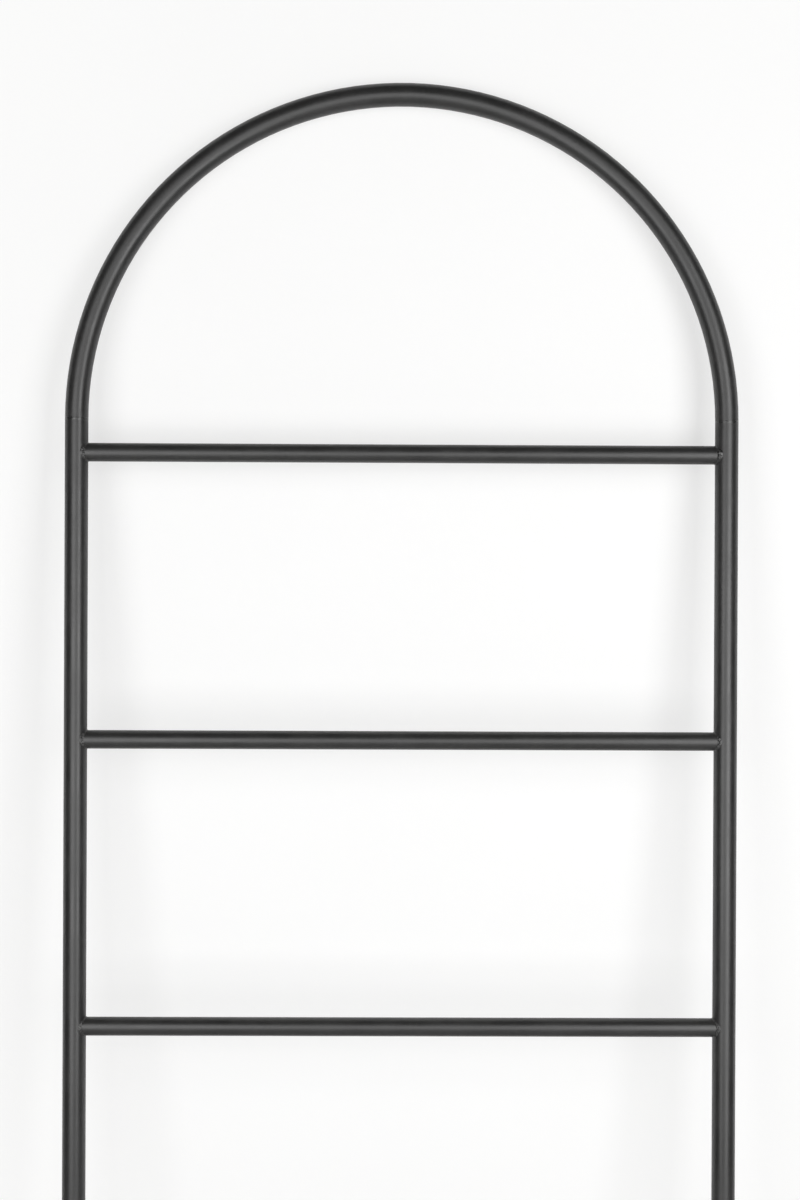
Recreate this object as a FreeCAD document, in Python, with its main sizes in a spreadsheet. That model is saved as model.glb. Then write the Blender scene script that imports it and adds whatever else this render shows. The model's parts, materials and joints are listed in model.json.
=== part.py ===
"""Blanket ladder: a welded frame of bent and straight steel tube with a round top.

Millimetres. X runs across the ladder, +Y points to the wall that it leans on and +Z runs up the uprights.
The origin lies on the floor, midway between the two feet, on the tubes' centre plane.
"""
import FreeCAD, Part
import math
import os
import Sketcher

# The driving dimensions, in millimetres, degrees for an angle, and a plain number for a count.
SIZES = {
    # uprights and arch: one size of round tube
    "stile_tube_diameter": 20.0,
    "stile_tube_wall": 1.2,
    "stile_spacing": 560.0,
    # rungs: a thinner round tube, coped to the uprights
    "rung_tube_diameter": 16.0,
    "rung_tube_wall": 1.0,
    "rung_count": 6,
    "first_rung_height": 246.0,
    "rung_pitch": 247.0,
    "cope_gap": 0.1,
    # from the top rung's axis up to the end of the uprights
    "shoulder_rise": 28.0,
    # bead round each rung end: how far it reaches along both tubes and how far it bulges on the front and
    # the back, and how far it reaches above and below the rung, where the corner stays crisp
    "bead_leg": 2.0,
    "bead_rise": 0.5,
    "bead_corner_leg": 0.5,
    "bead_gap": 0.05,
    # ground weld between each upright and the arch
    "seam_gap": 1.0,
    "seam_cap_width": 3.0,
    "seam_cap_rise": 0.1,
    # tube inside each seam
    "sleeve_length": 40.0,
    "sleeve_wall": 1.0,
    "sleeve_clearance": 0.1,
    # ribbed plug in the lower end of each upright
    "foot_head_height": 4.0,
    "foot_edge_radius": 1.5,
    "foot_stem_length": 22.0,
    "foot_stem_clearance": 0.8,
    "foot_stem_wall": 1.8,
    "foot_lead_in": 0.8,
    "foot_rib_count": 4,
    "foot_rib_pitch": 4.5,
    "foot_rib_height": 1.6,
    "foot_rib_start": 2.5,
    "foot_rib_clearance": 0.05,
    # rubber bumper on the back of the arch, one each side of its top
    "pad_diameter": 12.0,
    "pad_rise": 2.5,
    "pad_edge_radius": 1.2,
    "pad_seat_gap": 0.1,
    "pad_angle": 14.0,
}

# Places that several pieces share, as expressions on the sheet.
HALF_SPACING = "Sizes.stile_spacing / 2"
STILE_RADIUS = "Sizes.stile_tube_diameter / 2"
STILE_BORE_RADIUS = "(Sizes.stile_tube_diameter / 2 - Sizes.stile_tube_wall)"
RUNG_RADIUS = "Sizes.rung_tube_diameter / 2"
SHOULDER_HEIGHT = (
    "(Sizes.first_rung_height + (Sizes.rung_count - 1) * Sizes.rung_pitch + Sizes.shoulder_rise)"
)
ARCH_CENTRE_HEIGHT = SHOULDER_HEIGHT + " + Sizes.seam_gap"
SLEEVE_RADIUS = "(" + STILE_BORE_RADIUS + " - Sizes.sleeve_clearance)"
FOOT_STEM_RADIUS = "(" + STILE_BORE_RADIUS + " - Sizes.foot_stem_clearance)"
FOOT_STEM_TOP = "(Sizes.foot_head_height + Sizes.foot_stem_length)"

SIDES = {"left": -1, "right": 1}
ORIGIN_POINT = (-1, 1)
# A sketch's own numbers for a line's two ends and a circle's middle.
START, END, CENTRE = range(1, 4)
# How near two measured places are when they are the same.
SAME_PLACE = 1e-6

# Places round a rung end where the bead's section is worked out.
BEAD_STATIONS = 24


def make_sheet(doc):
    """The sheet of driving dimensions, one row each: name, then value."""
    sheet = doc.addObject("Spreadsheet::Sheet", "Sizes")
    for row, (name, value) in enumerate(SIZES.items(), start=1):
        sheet.set(f"A{row}", name)
        sheet.set(f"B{row}", str(value))
        sheet.setAlias(f"B{row}", name)
    doc.recompute()
    return sheet


def new_body(doc, name):
    """An empty body whose label is the sub-part's name."""
    body = doc.addObject("PartDesign::Body", name)
    body.Label = name
    return body


def bind(thing, **expressions):
    """Binds each named property of a feature to an expression."""
    for name, expression in expressions.items():
        thing.setExpression(name, expression)


def place(body, x=None, z=None, half_turn=False):
    """Puts a body at x and z, with a half turn about Z where it is the mirror of its twin."""
    if half_turn:
        body.Placement.Rotation = FreeCAD.Rotation(FreeCAD.Vector(0, 0, 1), 180)
    if x:
        body.setExpression(".Placement.Base.x", x)
    if z:
        body.setExpression(".Placement.Base.z", z)


def new_sketch(body, name, plane):
    """A sketch on one of the body's own origin planes."""
    sketch = body.newObject("Sketcher::SketchObject", name)
    support = next(item for item in body.Origin.OriginFeatures if item.Role == plane)
    sketch.AttachmentSupport = [(support, "")]
    sketch.MapMode = "FlatFace"
    return sketch


def constrain(sketch, kind, *where, value=None, expression=None):
    """Adds a constraint, bound to an expression where one is given."""
    arguments = list(where)
    if expression:
        arguments.append(value)
    index = sketch.addConstraint(Sketcher.Constraint(kind, *arguments))
    if expression:
        sketch.setExpression(f"Constraints[{index}]", expression)


def locate(sketch, geometry, point, x, y, guess):
    """Fixes a point of a sketch at expressions x and y from the sketch's origin, 0 meaning on the axis."""
    if x == "0" and y == "0":
        constrain(sketch, "Coincident", geometry, point, *ORIGIN_POINT)
        return
    for kind, expression, value, axis in (("DistanceX", x, guess[0], -2), ("DistanceY", y, guess[1], -1)):
        if expression == "0":
            constrain(sketch, "PointOnObject", geometry, point, axis)
        else:
            constrain(sketch, kind, *ORIGIN_POINT, geometry, point, value=value, expression=expression)


def evaluate(sheet, expression):
    """The number that an expression on the sheet gives now."""
    return float(sheet.evalExpression(expression))


def draw_circle(sketch, sheet, radius, x="0", y="0"):
    """A circle of the given radius about a point, all as expressions on the sheet."""
    centre = [evaluate(sheet, x), evaluate(sheet, y)]
    size = evaluate(sheet, radius)
    index = sketch.addGeometry(Part.Circle(FreeCAD.Vector(*centre, 0), FreeCAD.Vector(0, 0, 1), size), False)
    locate(sketch, index, CENTRE, x, y, centre)
    constrain(sketch, "Radius", index, value=size, expression=radius)


def draw_polygon(sketch, sheet, corners):
    """A closed outline through corners, each a pair of expressions on the sheet."""
    points = [FreeCAD.Vector(evaluate(sheet, x), evaluate(sheet, y), 0) for x, y in corners]
    count = len(points)
    lines = [
        sketch.addGeometry(Part.LineSegment(points[k], points[(k + 1) % count]), False) for k in range(count)
    ]
    for k, line in enumerate(lines):
        constrain(sketch, "Coincident", line, END, lines[(k + 1) % count], START)
        locate(sketch, line, START, *corners[k], (points[k].x, points[k].y))


def tube_section(body, sheet, plane, outer, inner, x="0"):
    """A sketch of a tube's cross-section: two circles about a point on the sketch's first axis."""
    sketch = new_sketch(body, body.Name + "_section", plane)
    draw_circle(sketch, sheet, outer, x)
    draw_circle(sketch, sheet, inner, x)
    return sketch


def revolve(body, name, sketch, angle=360.0):
    """Turns a sketch about its own vertical axis."""
    turn = body.newObject("PartDesign::Revolution", name)
    turn.Profile = sketch
    turn.ReferenceAxis = (sketch, ["V_Axis"])
    turn.Angle = angle
    return turn


def edges_of_circle(shape, radius, level, axis):
    """Names of the round edges of a radius that lie at a level along an axis, x, y or z."""
    names = []
    for number, edge in enumerate(shape.Edges, start=1):
        curve = edge.Curve
        if not isinstance(curve, Part.Circle):
            continue
        offsets = (curve.Radius - radius, getattr(curve.Center, axis) - level)
        if max(map(abs, offsets)) < SAME_PLACE:
            names.append(f"Edge{number}")
    return names


def round_edges(doc, body, name, base, edges, radius):
    """Fillets named edges of a feature to a radius that is bound to the sheet."""
    fillet = body.newObject("PartDesign::Fillet", name)
    fillet.Base = (base, edges)
    bind(fillet, Radius=radius)
    doc.recompute()
    return fillet


def make_arch(doc, sheet):
    """Round top: the uprights' tube bent to a half circle, on top of the two seams."""
    body = new_body(doc, "arch_tube")
    section = tube_section(body, sheet, "XY_Plane", STILE_RADIUS, STILE_BORE_RADIUS, HALF_SPACING)
    bend = revolve(body, "arch_bend", section, 180.0)
    bend.Reversed = True
    place(body, z=ARCH_CENTRE_HEIGHT)
    return body


def make_stile(doc, sheet, side):
    """Upright: straight tube from the foot's head up to the shoulder."""
    body = new_body(doc, f"stile_{side}")
    section = tube_section(body, sheet, "XY_Plane", STILE_RADIUS, STILE_BORE_RADIUS)
    pad = body.newObject("PartDesign::Pad", f"stile_{side}_length")
    pad.Profile = section
    bind(pad, Length=SHOULDER_HEIGHT + " - Sizes.foot_head_height")
    place(body, x=f"{SIDES[side]} * {HALF_SPACING}", z="Sizes.foot_head_height")
    return body


def rung_height(number):
    """Height of a rung's axis, counted from the floor up."""
    return f"Sizes.first_rung_height + {number - 1} * Sizes.rung_pitch"


def make_rung(doc, sheet, number):
    """Rung: straight tube whose two ends are coped to the uprights' outside."""
    body = new_body(doc, f"rung_{number}")
    section = tube_section(
        body, sheet, "YZ_Plane", RUNG_RADIUS, f"{RUNG_RADIUS} - Sizes.rung_tube_wall"
    )
    pad = body.newObject("PartDesign::Pad", f"rung_{number}_length")
    pad.Profile = section
    pad.SideType = "Symmetric"
    bind(pad, Length="Sizes.stile_spacing")
    copes = new_sketch(body, f"rung_{number}_copes", "XY_Plane")
    for side in SIDES.values():
        draw_circle(copes, sheet, f"{STILE_RADIUS} + Sizes.cope_gap", f"{side} * {HALF_SPACING}")
    cut = body.newObject("PartDesign::Pocket", f"rung_{number}_cope_cut")
    cut.Profile = copes
    cut.Type = "ThroughAll"
    cut.SideType = "Symmetric"
    place(body, z=rung_height(number))
    return body


def bead_rails(stile_radius, rung_radius, full_leg, corner_leg, full_rise):
    """Five closed curves along a rung end: root, toe on the rung, two crown lines, toe on the upright.

    The rung runs along +X from the upright, whose axis is Z. A station is an angle round the rung, from its
    top. The bead is full at the front and the back and thins out to the corners above and below the rung.
    The toe on the upright is measured square to the root on the upright's unrolled surface.
    """
    rails = [[], [], [], [], []]
    for station in range(BEAD_STATIONS):
        turn = 2 * math.pi * station / BEAD_STATIONS
        across = math.sin(turn)
        up = math.cos(turn)
        leg = corner_leg + (full_leg - corner_leg) * across**2
        rise = full_rise * leg / full_leg
        swing = math.asin(rung_radius * across / stile_radius)
        root = FreeCAD.Vector(stile_radius * math.cos(swing), rung_radius * across, rung_radius * up)
        rung_toe = root + FreeCAD.Vector(leg, 0, 0)
        normal = (rung_radius * across, rung_radius * up / math.cos(swing))
        reach = leg / math.hypot(*normal)
        toe_swing = swing + reach * normal[0] / stile_radius
        stile_toe = FreeCAD.Vector(
            stile_radius * math.cos(toe_swing),
            stile_radius * math.sin(toe_swing),
            root.z + reach * normal[1],
        )
        outward = FreeCAD.Vector(math.cos(swing), math.sin(swing) + across, up).normalize() * rise
        crown_a = rung_toe * (2 / 3) + stile_toe * (1 / 3) + outward
        crown_b = rung_toe * (1 / 3) + stile_toe * (2 / 3) + outward
        for rail, point in zip(rails, (root, rung_toe, crown_a, crown_b, stile_toe)):
            rail.append(point)
    return rails


def make_bead(doc, sheet, number, side):
    """Weld bead round one rung end: a convex fillet that follows the saddle between the two tubes."""
    gap = sheet.bead_gap
    rails = bead_rails(
        sheet.stile_tube_diameter / 2 + gap,
        sheet.rung_tube_diameter / 2 + gap,
        sheet.bead_leg,
        sheet.bead_corner_leg,
        sheet.bead_rise,
    )
    edges = []
    for rail in rails:
        curve = Part.BSplineCurve()
        curve.interpolate(Points=rail, PeriodicFlag=True)
        edges.append(curve.toShape())
    faces = [Part.makeRuledSurface(edges[k], edges[(k + 1) % len(edges)]) for k in range(len(edges))]
    shell = Part.makeShell(faces)
    shell.sewShape()
    solid = Part.makeSolid(shell)
    if solid.Volume < 0:
        solid.reverse()
    bead = doc.addObject("Part::Feature", f"rung_weld_{number}_{side}")
    bead.Label = bead.Name
    bead.Shape = solid
    place(bead, x=f"{SIDES[side]} * {HALF_SPACING}", z=rung_height(number), half_turn=side == "right")
    return bead


def make_seam(doc, sheet, side):
    """Ring weld between an upright and the arch: fills the root gap and stands a little proud."""
    body = new_body(doc, f"seam_weld_{side}")
    overlap = "(Sizes.seam_cap_width - Sizes.seam_gap) / 2"
    profile = new_sketch(body, f"seam_weld_{side}_profile", "XZ_Plane")
    corners = [
        (STILE_BORE_RADIUS, "0"),
        (STILE_RADIUS, "0"),
        (STILE_RADIUS, f"-{overlap}"),
        (f"{STILE_RADIUS} + Sizes.seam_cap_rise", "Sizes.seam_gap / 2"),
        (STILE_RADIUS, f"Sizes.seam_gap + {overlap}"),
        (STILE_RADIUS, "Sizes.seam_gap"),
        (STILE_BORE_RADIUS, "Sizes.seam_gap"),
    ]
    draw_polygon(profile, sheet, corners)
    revolve(body, f"seam_weld_{side}_ring", profile)
    place(body, x=f"{SIDES[side]} * {HALF_SPACING}", z=SHOULDER_HEIGHT)
    return body


def make_sleeve(doc, sheet, side):
    """Tube inside a seam: straight in the upright, and bent with the arch above it."""
    body = new_body(doc, f"joint_sleeve_{side}")
    section = tube_section(
        body, sheet, "XY_Plane", SLEEVE_RADIUS, f"{SLEEVE_RADIUS} - Sizes.sleeve_wall", HALF_SPACING
    )
    straight = body.newObject("PartDesign::Pad", f"joint_sleeve_{side}_straight")
    straight.Profile = section
    straight.Reversed = True
    bind(straight, Length="Sizes.sleeve_length / 2")
    bent = revolve(body, f"joint_sleeve_{side}_bent", section)
    bent.Reversed = True
    bind(bent, Angle=f"Sizes.sleeve_length / 2 / ({HALF_SPACING}) * 180 / pi")
    place(body, z=ARCH_CENTRE_HEIGHT, half_turn=side == "left")
    return body


def make_foot(doc, sheet, side):
    """Plug in an upright's lower end: a flat head on the floor and a hollow stem with gripping ribs."""
    body = new_body(doc, f"foot_{side}")
    profile = new_sketch(body, f"foot_{side}_profile", "XZ_Plane")
    corners = [
        ("0", "0"),
        (STILE_RADIUS, "0"),
        (STILE_RADIUS, "Sizes.foot_head_height"),
        (FOOT_STEM_RADIUS, "Sizes.foot_head_height"),
        (FOOT_STEM_RADIUS, f"{FOOT_STEM_TOP} - Sizes.foot_lead_in"),
        (f"{FOOT_STEM_RADIUS} - Sizes.foot_lead_in", FOOT_STEM_TOP),
        (f"{FOOT_STEM_RADIUS} - Sizes.foot_stem_wall", FOOT_STEM_TOP),
        (f"{FOOT_STEM_RADIUS} - Sizes.foot_stem_wall", "Sizes.foot_head_height"),
        ("0", "Sizes.foot_head_height"),
    ]
    draw_polygon(profile, sheet, corners)
    plug = revolve(body, f"foot_{side}_plug", profile)
    rib_profile = new_sketch(body, f"foot_{side}_rib_profile", "XZ_Plane")
    rib_foot = "(Sizes.foot_head_height + Sizes.foot_rib_start)"
    rib_corners = [
        (f"{FOOT_STEM_RADIUS} - Sizes.foot_stem_wall / 2", rib_foot),
        (f"{STILE_BORE_RADIUS} - Sizes.foot_rib_clearance", rib_foot),
        (FOOT_STEM_RADIUS, f"{rib_foot} + Sizes.foot_rib_height"),
        (f"{FOOT_STEM_RADIUS} - Sizes.foot_stem_wall / 2", f"{rib_foot} + Sizes.foot_rib_height"),
    ]
    draw_polygon(rib_profile, sheet, rib_corners)
    rib = revolve(body, f"foot_{side}_rib", rib_profile)
    ribs = body.newObject("PartDesign::LinearPattern", f"foot_{side}_ribs")
    ribs.Originals = [rib]
    ribs.Direction = (rib_profile, ["V_Axis"])
    ribs.Mode = "Spacing"
    bind(ribs, Offset="Sizes.foot_rib_pitch", Occurrences="Sizes.foot_rib_count")
    body.Tip = ribs
    doc.recompute()
    radius = evaluate(sheet, STILE_RADIUS)
    rim = edges_of_circle(ribs.Shape, radius, 0.0, "z")
    round_edges(doc, body, f"foot_{side}_rim", ribs, rim, "Sizes.foot_edge_radius")
    place(body, x=f"{SIDES[side]} * {HALF_SPACING}")
    return body


def make_pad(doc, sheet, side):
    """Bumper on the back of the arch: round, flat towards the wall, hollowed to sit on the bent tube."""
    body = new_body(doc, f"wall_pad_{side}")
    outline = new_sketch(body, f"wall_pad_{side}_outline", "XZ_Plane")
    draw_circle(
        outline,
        sheet,
        "Sizes.pad_diameter / 2",
        f"{SIDES[side]} * {HALF_SPACING} * sin(Sizes.pad_angle)",
        f"{HALF_SPACING} * cos(Sizes.pad_angle)",
    )
    block = body.newObject("PartDesign::Pad", f"wall_pad_{side}_block")
    block.Profile = outline
    block.Reversed = True
    bind(block, Length=f"{STILE_RADIUS} + Sizes.pad_rise")
    seat = new_sketch(body, f"wall_pad_{side}_seat", "XY_Plane")
    draw_circle(seat, sheet, f"{STILE_RADIUS} + Sizes.pad_seat_gap", HALF_SPACING)
    hollow = body.newObject("PartDesign::Groove", f"wall_pad_{side}_hollow")
    hollow.Profile = seat
    hollow.ReferenceAxis = (seat, ["V_Axis"])
    hollow.Angle = 360.0
    doc.recompute()
    radius = evaluate(sheet, "Sizes.pad_diameter / 2")
    back = evaluate(sheet, f"{STILE_RADIUS} + Sizes.pad_rise")
    rim = edges_of_circle(hollow.Shape, radius, back, "y")
    round_edges(doc, body, f"wall_pad_{side}_rim", hollow, rim, "Sizes.pad_edge_radius")
    place(body, z=ARCH_CENTRE_HEIGHT)
    return body


def check(doc, subparts):
    """Stops the build where any object failed, or a sub-part's shape is empty, broken or in pieces."""
    failed = [item.Name for item in doc.Objects if {"Invalid", "Error"} & set(item.State)]
    if failed:
        raise RuntimeError(f"failed objects: {failed}")
    for part in subparts:
        shape = part.Shape
        if shape.isNull() or not shape.isValid() or len(shape.Solids) != 1:
            raise RuntimeError(f"{part.Label} has no single valid solid")


def main():
    """Builds every sub-part, checks it and writes it to its own file."""
    doc = FreeCAD.newDocument("blanket_ladder")
    sheet = make_sheet(doc)
    subparts = [make_arch(doc, sheet)]
    for side in SIDES:
        subparts.append(make_stile(doc, sheet, side))
        subparts.append(make_seam(doc, sheet, side))
        subparts.append(make_sleeve(doc, sheet, side))
        subparts.append(make_foot(doc, sheet, side))
        subparts.append(make_pad(doc, sheet, side))
    for number in range(1, int(sheet.rung_count) + 1):
        subparts.append(make_rung(doc, sheet, number))
        for side in SIDES:
            subparts.append(make_bead(doc, sheet, number, side))
    doc.recompute()
    check(doc, subparts)
    os.makedirs("parts", exist_ok=True)
    for part in subparts:
        part.Shape.exportStep(f"parts/{part.Label}.step")
        box = part.Shape.BoundBox
        print(
            f"{part.Label}: {box.XLength:.2f} x {box.YLength:.2f} x {box.ZLength:.2f} mm,"
            f" volume {part.Shape.Volume:.1f} mm3"
        )


main()
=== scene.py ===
"""A leaning blanket ladder of powder-coated steel tube, dressed for a studio picture.

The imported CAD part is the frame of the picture. Its tubes, feet, pads and sleeves stay as they are and get
procedural finishes. The weld beads at the rung ends and at the two seams of the round top are laid again in
full detail by Geometry Nodes. A pale floor and wall, two banks of soft boxes in front, three fills and the
camera complete the studio.

All lengths are metres, in the part's own frame: the uprights stand on z = 0 in the plane y = 0, and the
front faces -y.
"""

import json
import logging
import math
from collections.abc import Callable, Sequence
from dataclasses import asdict, dataclass, fields, replace
from enum import Enum
from functools import partial
from typing import Any

import bpy
from mathutils import Matrix, Vector


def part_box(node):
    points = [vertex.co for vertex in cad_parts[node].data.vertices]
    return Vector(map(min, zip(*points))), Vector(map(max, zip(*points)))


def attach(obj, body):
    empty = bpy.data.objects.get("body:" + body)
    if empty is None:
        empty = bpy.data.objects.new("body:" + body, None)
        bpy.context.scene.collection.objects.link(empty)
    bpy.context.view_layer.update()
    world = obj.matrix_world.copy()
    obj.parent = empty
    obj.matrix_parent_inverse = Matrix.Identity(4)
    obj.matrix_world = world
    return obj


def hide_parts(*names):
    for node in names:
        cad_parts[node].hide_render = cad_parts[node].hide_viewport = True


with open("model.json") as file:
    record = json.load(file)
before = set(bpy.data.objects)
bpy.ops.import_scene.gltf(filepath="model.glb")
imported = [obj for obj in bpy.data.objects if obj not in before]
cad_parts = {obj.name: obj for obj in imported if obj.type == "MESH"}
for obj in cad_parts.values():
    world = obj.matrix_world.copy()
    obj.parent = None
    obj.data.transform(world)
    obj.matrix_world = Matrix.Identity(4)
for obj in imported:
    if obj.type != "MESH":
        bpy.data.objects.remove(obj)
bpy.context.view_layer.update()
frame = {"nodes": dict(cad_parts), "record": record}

LOG = logging.getLogger("blanket_ladder")
MM = 0.001
BODY = "root"
RUNGS = sum(name.removeprefix("rung_").isdigit() for name in frame["nodes"])
Colour = tuple[float, float, float]
Place = tuple[float, float, float]
Span = tuple[float, float]
Section = list[tuple[Vector, float]]


class Side(Enum):
    """The two uprights, by their sign along x."""

    LEFT = -1
    RIGHT = 1

    @property
    def word(self) -> str:
        """The side as the node names spell it."""
        return self.name.lower()


class Slot(Enum):
    """The record's material slots."""

    FRAME_COAT = "frame_coat"
    WELD_COAT = "weld_coat"
    SLEEVE_STEEL = "sleeve_steel"
    FOOT_PLASTIC = "foot_plastic"
    PAD_RUBBER = "pad_rubber"


# ---------------------------------------------------------------- node trees


def label(name: str) -> str:
    """Spells the name of a value the way the node sockets do."""
    return name.replace("_", " ").title()


class Wiring:
    """A node tree with short calls that add a node, fill its sockets and hand back its output."""

    def __init__(self, tree: bpy.types.NodeTree) -> None:
        """Takes hold of a tree.

        Args:
            tree: the shader or geometry tree that the calls work on.
        """
        self.tree = tree

    def feed(self, socket: bpy.types.NodeSocket, value: Any) -> None:
        """Links an output to an input socket, or writes a plain value into it.

        Args:
            socket: the input socket.
            value: another node's output socket, or the value itself.
        """
        if isinstance(value, bpy.types.NodeSocket):
            self.tree.links.new(value, socket)
        else:
            socket.default_value = value

    def add(self, kind: str, sockets: dict[str | int, Any] | None = None, **settings: Any) -> bpy.types.Node:
        """Adds a node.

        Args:
            kind: the node's type name.
            sockets: what goes into its input sockets, by name or number.
            **settings: the node's own properties.

        Returns:
            The new node.
        """
        node = self.tree.nodes.new(kind)
        for name, value in settings.items():
            setattr(node, name, value)
        for key, value in (sockets or {}).items():
            self.feed(node.inputs[key], value)
        return node

    def math(self, operation: str, *values: Any, clamp: bool = False) -> bpy.types.NodeSocket:
        """Adds a Math node.

        Args:
            operation: its operation, such as MULTIPLY.
            *values: the numbers or sockets that go in, in order.
            clamp: whether the result is kept between 0 and 1.

        Returns:
            The result's socket.
        """
        kind = "ShaderNodeMath"
        return self.add(kind, dict(enumerate(values)), operation=operation, use_clamp=clamp).outputs[0]

    def vector(self, operation: str, *values: Any) -> bpy.types.NodeSocket:
        """Adds a Vector Math node.

        Args:
            operation: its operation, such as SCALE.
            *values: the vectors that go in, in order; for SCALE the second is the factor.

        Returns:
            The result's socket: a number for DISTANCE and LENGTH, and a vector otherwise.
        """
        node = self.add("ShaderNodeVectorMath", operation=operation)
        places = (0, 3) if operation == "SCALE" else range(len(values))
        for place, value in zip(places, values):
            self.feed(node.inputs[place], value)
        return node.outputs["Value" if operation in ("DISTANCE", "LENGTH") else "Vector"]

    def along(self, vector: Any, axis: str) -> bpy.types.NodeSocket:
        """Takes the X, Y or Z of a vector."""
        return self.add("ShaderNodeSeparateXYZ", {0: vector}).outputs[axis]

    def inverse(self, size: Any) -> bpy.types.NodeSocket:
        """Turns the size of a pattern's grain, in metres, into the pattern's scale."""
        return self.math("DIVIDE", 1.0, size)

    def noise(self, vector: Any, scale: Any, detail: float, warp: float = 0.0) -> bpy.types.NodeSocket:
        """Adds a noise.

        Args:
            vector: the coordinates that it reads.
            scale: how many of its grains a metre holds.
            detail: how many finer layers it has.
            warp: how far it is distorted.

        Returns:
            The noise's value, about 0.5 on average.
        """
        sockets = {"Vector": vector, "Scale": scale, "Detail": detail, "Distortion": warp}
        return self.add("ShaderNodeTexNoise", sockets).outputs[0]

    def ramp(
        self, value: Any, low: float, high: float, to_low: float = 0.0, to_high: float = 1.0
    ) -> bpy.types.NodeSocket:
        """Adds a smooth Map Range node.

        Args:
            value: what is mapped.
            low: the value that gives to_low.
            high: the value that gives to_high.
            to_low: the result at the low end.
            to_high: the result at the high end.

        Returns:
            The result's socket.
        """
        places = {0: value, 1: low, 2: high, 3: to_low, 4: to_high}
        return self.add("ShaderNodeMapRange", places, interpolation_type="SMOOTHSTEP").outputs[0]

    def mix(self, factor: Any, first: Any, second: Any) -> bpy.types.NodeSocket:
        """Adds a colour mix.

        Args:
            factor: 0 gives the first colour, 1 the second.
            first: a colour or its socket.
            second: a colour or its socket.

        Returns:
            The mixed colour's socket.
        """
        node = self.add("ShaderNodeMix", data_type="RGBA")
        for place, value in ((0, factor), (6, first), (7, second)):
            self.feed(node.inputs[place], (*value, 1.0) if isinstance(value, tuple) else value)
        return node.outputs[2]

    def mix_shader(self, factor: Any, first: Any, second: Any) -> bpy.types.NodeSocket:
        """Adds a mix of two shaders, where a factor of 0 gives the first and 1 the second."""
        return self.add("ShaderNodeMixShader", {0: factor, 1: first, 2: second}).outputs[0]


class Effect:
    """A surface effect that several finishes share, kept as one shader node group.

    TAKES holds the group's inputs beside Vector, with the values that they start from, and GIVES its outputs.
    """

    NAME = ""
    TAKES: dict[str, float] = {}
    GIVES: tuple[str, ...] = ()

    def __init__(self) -> None:
        """Starts with no group; the first use builds it."""
        self.group: bpy.types.NodeTree | None = None

    def wire(self, wires: Wiring, ins: Any, out: Any) -> None:
        """Fills the group; each effect has its own.

        Args:
            wires: the group's tree.
            ins: the sockets that come into the group, by name.
            out: the sockets that leave the group, by name.
        """
        raise NotImplementedError

    def build(self) -> bpy.types.NodeTree:
        """Makes the group once.

        Returns:
            The shader node group.
        """
        if self.group is None:
            tree = bpy.data.node_groups.new(self.NAME, "ShaderNodeTree")
            face = tree.interface
            number = "NodeSocketFloat"
            face.new_socket(name="Vector", in_out="INPUT", socket_type="NodeSocketVector")
            for name, value in self.TAKES.items():
                face.new_socket(name=name, in_out="INPUT", socket_type=number).default_value = value
            for name in self.GIVES:
                face.new_socket(name=name, in_out="OUTPUT", socket_type=number)
            wires = Wiring(tree)
            self.wire(wires, wires.add("NodeGroupInput").outputs, wires.add("NodeGroupOutput").inputs)
            self.group = tree
        return self.group

    def place(self, wires: Wiring, vector: Any, **values: float) -> Any:
        """Puts the effect into a material.

        Args:
            wires: the material's tree.
            vector: the coordinates that the effect reads.
            **values: its inputs, by name with underscores for spaces.

        Returns:
            The group's output sockets, by name.
        """
        node = wires.add("ShaderNodeGroup", node_tree=self.build())
        wires.feed(node.inputs["Vector"], vector)
        for name, value in values.items():
            wires.feed(node.inputs[label(name)], value)
        return node.outputs


class PowderGrain(Effect):
    """The soft swell and the fine tooth of a cured powder coat, with a slow drift of tone."""

    NAME = "powder_grain"
    TAKES = {"Swell Size": 2.4 * MM, "Tooth Size": 0.5 * MM, "Tooth Share": 0.4}
    GIVES = ("Height", "Tone")
    SWELL_DETAIL = 2.0
    TOOTH_DETAIL = 3.0
    DRIFT_DETAIL = 3.0
    DRIFT_SWELLS = 9.0
    DRIFT_SHARE = 0.6
    TONE_SPAN: Span = (0.3, 0.7)

    def wire(self, wires: Wiring, ins: Any, out: Any) -> None:
        """Adds two sizes of noise for the height and one slow noise for the tone.

        Args:
            wires: the group's tree.
            ins: the sockets that come into the group, by name.
            out: the sockets that leave the group, by name.
        """
        vector, share = ins["Vector"], ins["Tooth Share"]
        swell = wires.noise(vector, wires.inverse(ins["Swell Size"]), self.SWELL_DETAIL)
        tooth = wires.noise(vector, wires.inverse(ins["Tooth Size"]), self.TOOTH_DETAIL)
        rest = wires.math("SUBTRACT", 1.0, share)
        height = wires.math("ADD", wires.math("MULTIPLY", swell, rest), wires.math("MULTIPLY", tooth, share))
        wires.feed(out["Height"], height)
        drift_size = wires.math("MULTIPLY", ins["Swell Size"], self.DRIFT_SWELLS)
        drift = wires.noise(vector, wires.inverse(drift_size), self.DRIFT_DETAIL)
        slow = wires.math("MULTIPLY", drift, self.DRIFT_SHARE)
        tone = wires.math("ADD", slow, wires.math("MULTIPLY", swell, 1.0 - self.DRIFT_SHARE))
        wires.feed(out["Tone"], wires.ramp(tone, *self.TONE_SPAN))


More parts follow.
